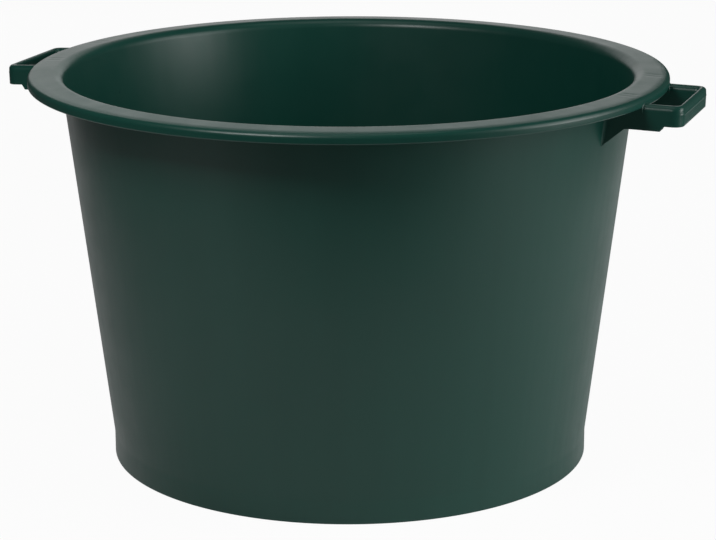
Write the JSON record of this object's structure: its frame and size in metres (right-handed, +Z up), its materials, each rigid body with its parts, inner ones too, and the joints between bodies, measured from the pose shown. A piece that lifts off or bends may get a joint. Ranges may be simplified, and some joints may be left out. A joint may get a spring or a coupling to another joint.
{
  "type": "round plastic tub",
  "caption": "Wide round tapered tub with a flat rolled rim and fixed loop handles on opposite sides, for carrying feed, water or soil.",
  "frame": {"origin": "centre of the foot ring, on the surface that the tub stands on", "axes": "+Z up along the tub's axis, +X towards the right handle, +Y to the rear"},
  "size_m": [0.7176, 0.65, 0.401],
  "materials": {
    "green_plastic": "satin dark green moulded polyolefin, lightly marked on the rim above the handle ribs"
  },
  "bodies": {
    "root": {"tub_wall": "green_plastic", "foot_ring": "green_plastic", "tub_floor": "green_plastic", "rim": "green_plastic", "right_handle": "green_plastic", "left_handle": "green_plastic", "right_front_outer_rib": "green_plastic", "right_front_inner_rib": "green_plastic", "right_rear_outer_rib": "green_plastic", "right_rear_inner_rib": "green_plastic", "left_front_outer_rib": "green_plastic", "left_front_inner_rib": "green_plastic", "left_rear_outer_rib": "green_plastic", "left_rear_inner_rib": "green_plastic"}
  },
  "joints": []
}
